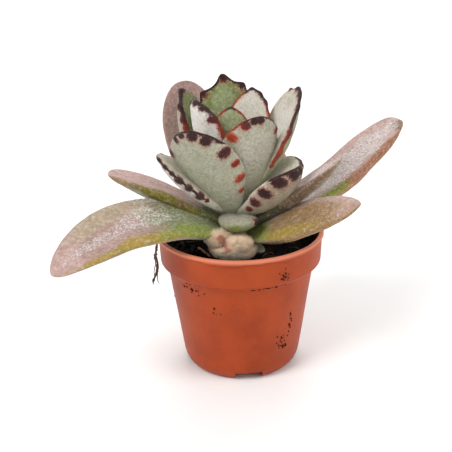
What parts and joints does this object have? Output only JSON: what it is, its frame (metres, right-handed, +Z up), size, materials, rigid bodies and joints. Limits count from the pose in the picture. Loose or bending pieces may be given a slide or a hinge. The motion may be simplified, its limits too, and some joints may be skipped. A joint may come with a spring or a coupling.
{
  "type": "potted kalanchoe",
  "caption": "Felt-leaved kalanchoe with a rosette of toothed, spotted leaves in a small plastic nursery pot of soil.",
  "frame": {"origin": "bottom centre of the whole plant's box, on the table plane, which is where the pot's axis meets the table", "axes": "+Z up along the pot's axis, -Y towards the front, +X to the right, along the plant's longest spread"},
  "size_m": [0.1133, 0.0728, 0.0939],
  "materials": {
    "pot": "satin",
    "soil": "matte",
    "bark": "matte",
    "wool": "matte",
    "old_leaf": "matte",
    "young_leaf": "matte",
    "straw": "matte",
    "dry_root": "matte"
  },
  "bodies": {
    "root": {"pot": "pot", "soil": "soil", "stem": "bark", "stub_base": "wool", "stub_left": "wool", "stub_right": "wool", "leaf_stub": "young_leaf", "leaf_sprout": "old_leaf", "leaf_low_left": "old_leaf", "leaf_low_right": "old_leaf", "leaf_low_back": "old_leaf", "leaf_front_right": "old_leaf", "leaf_side_left": "old_leaf", "leaf_side_right": "old_leaf", "leaf_side_back": "old_leaf", "leaf_back_left": "old_leaf", "leaf_rosette_low_left": "young_leaf", "leaf_rosette_low_right": "young_leaf", "leaf_rosette_low_back": "young_leaf", "leaf_rosette_front_left": "young_leaf", "leaf_rosette_front_right": "young_leaf", "leaf_rosette_left": "young_leaf", "leaf_rosette_right": "young_leaf", "leaf_rosette_back": "young_leaf", "leaf_inner_left": "young_leaf", "leaf_inner_right": "young_leaf", "leaf_heart": "young_leaf", "leaf_bud": "young_leaf", "straw": "straw", "root_over_rim": "dry_root"}
  },
  "joints": []
}
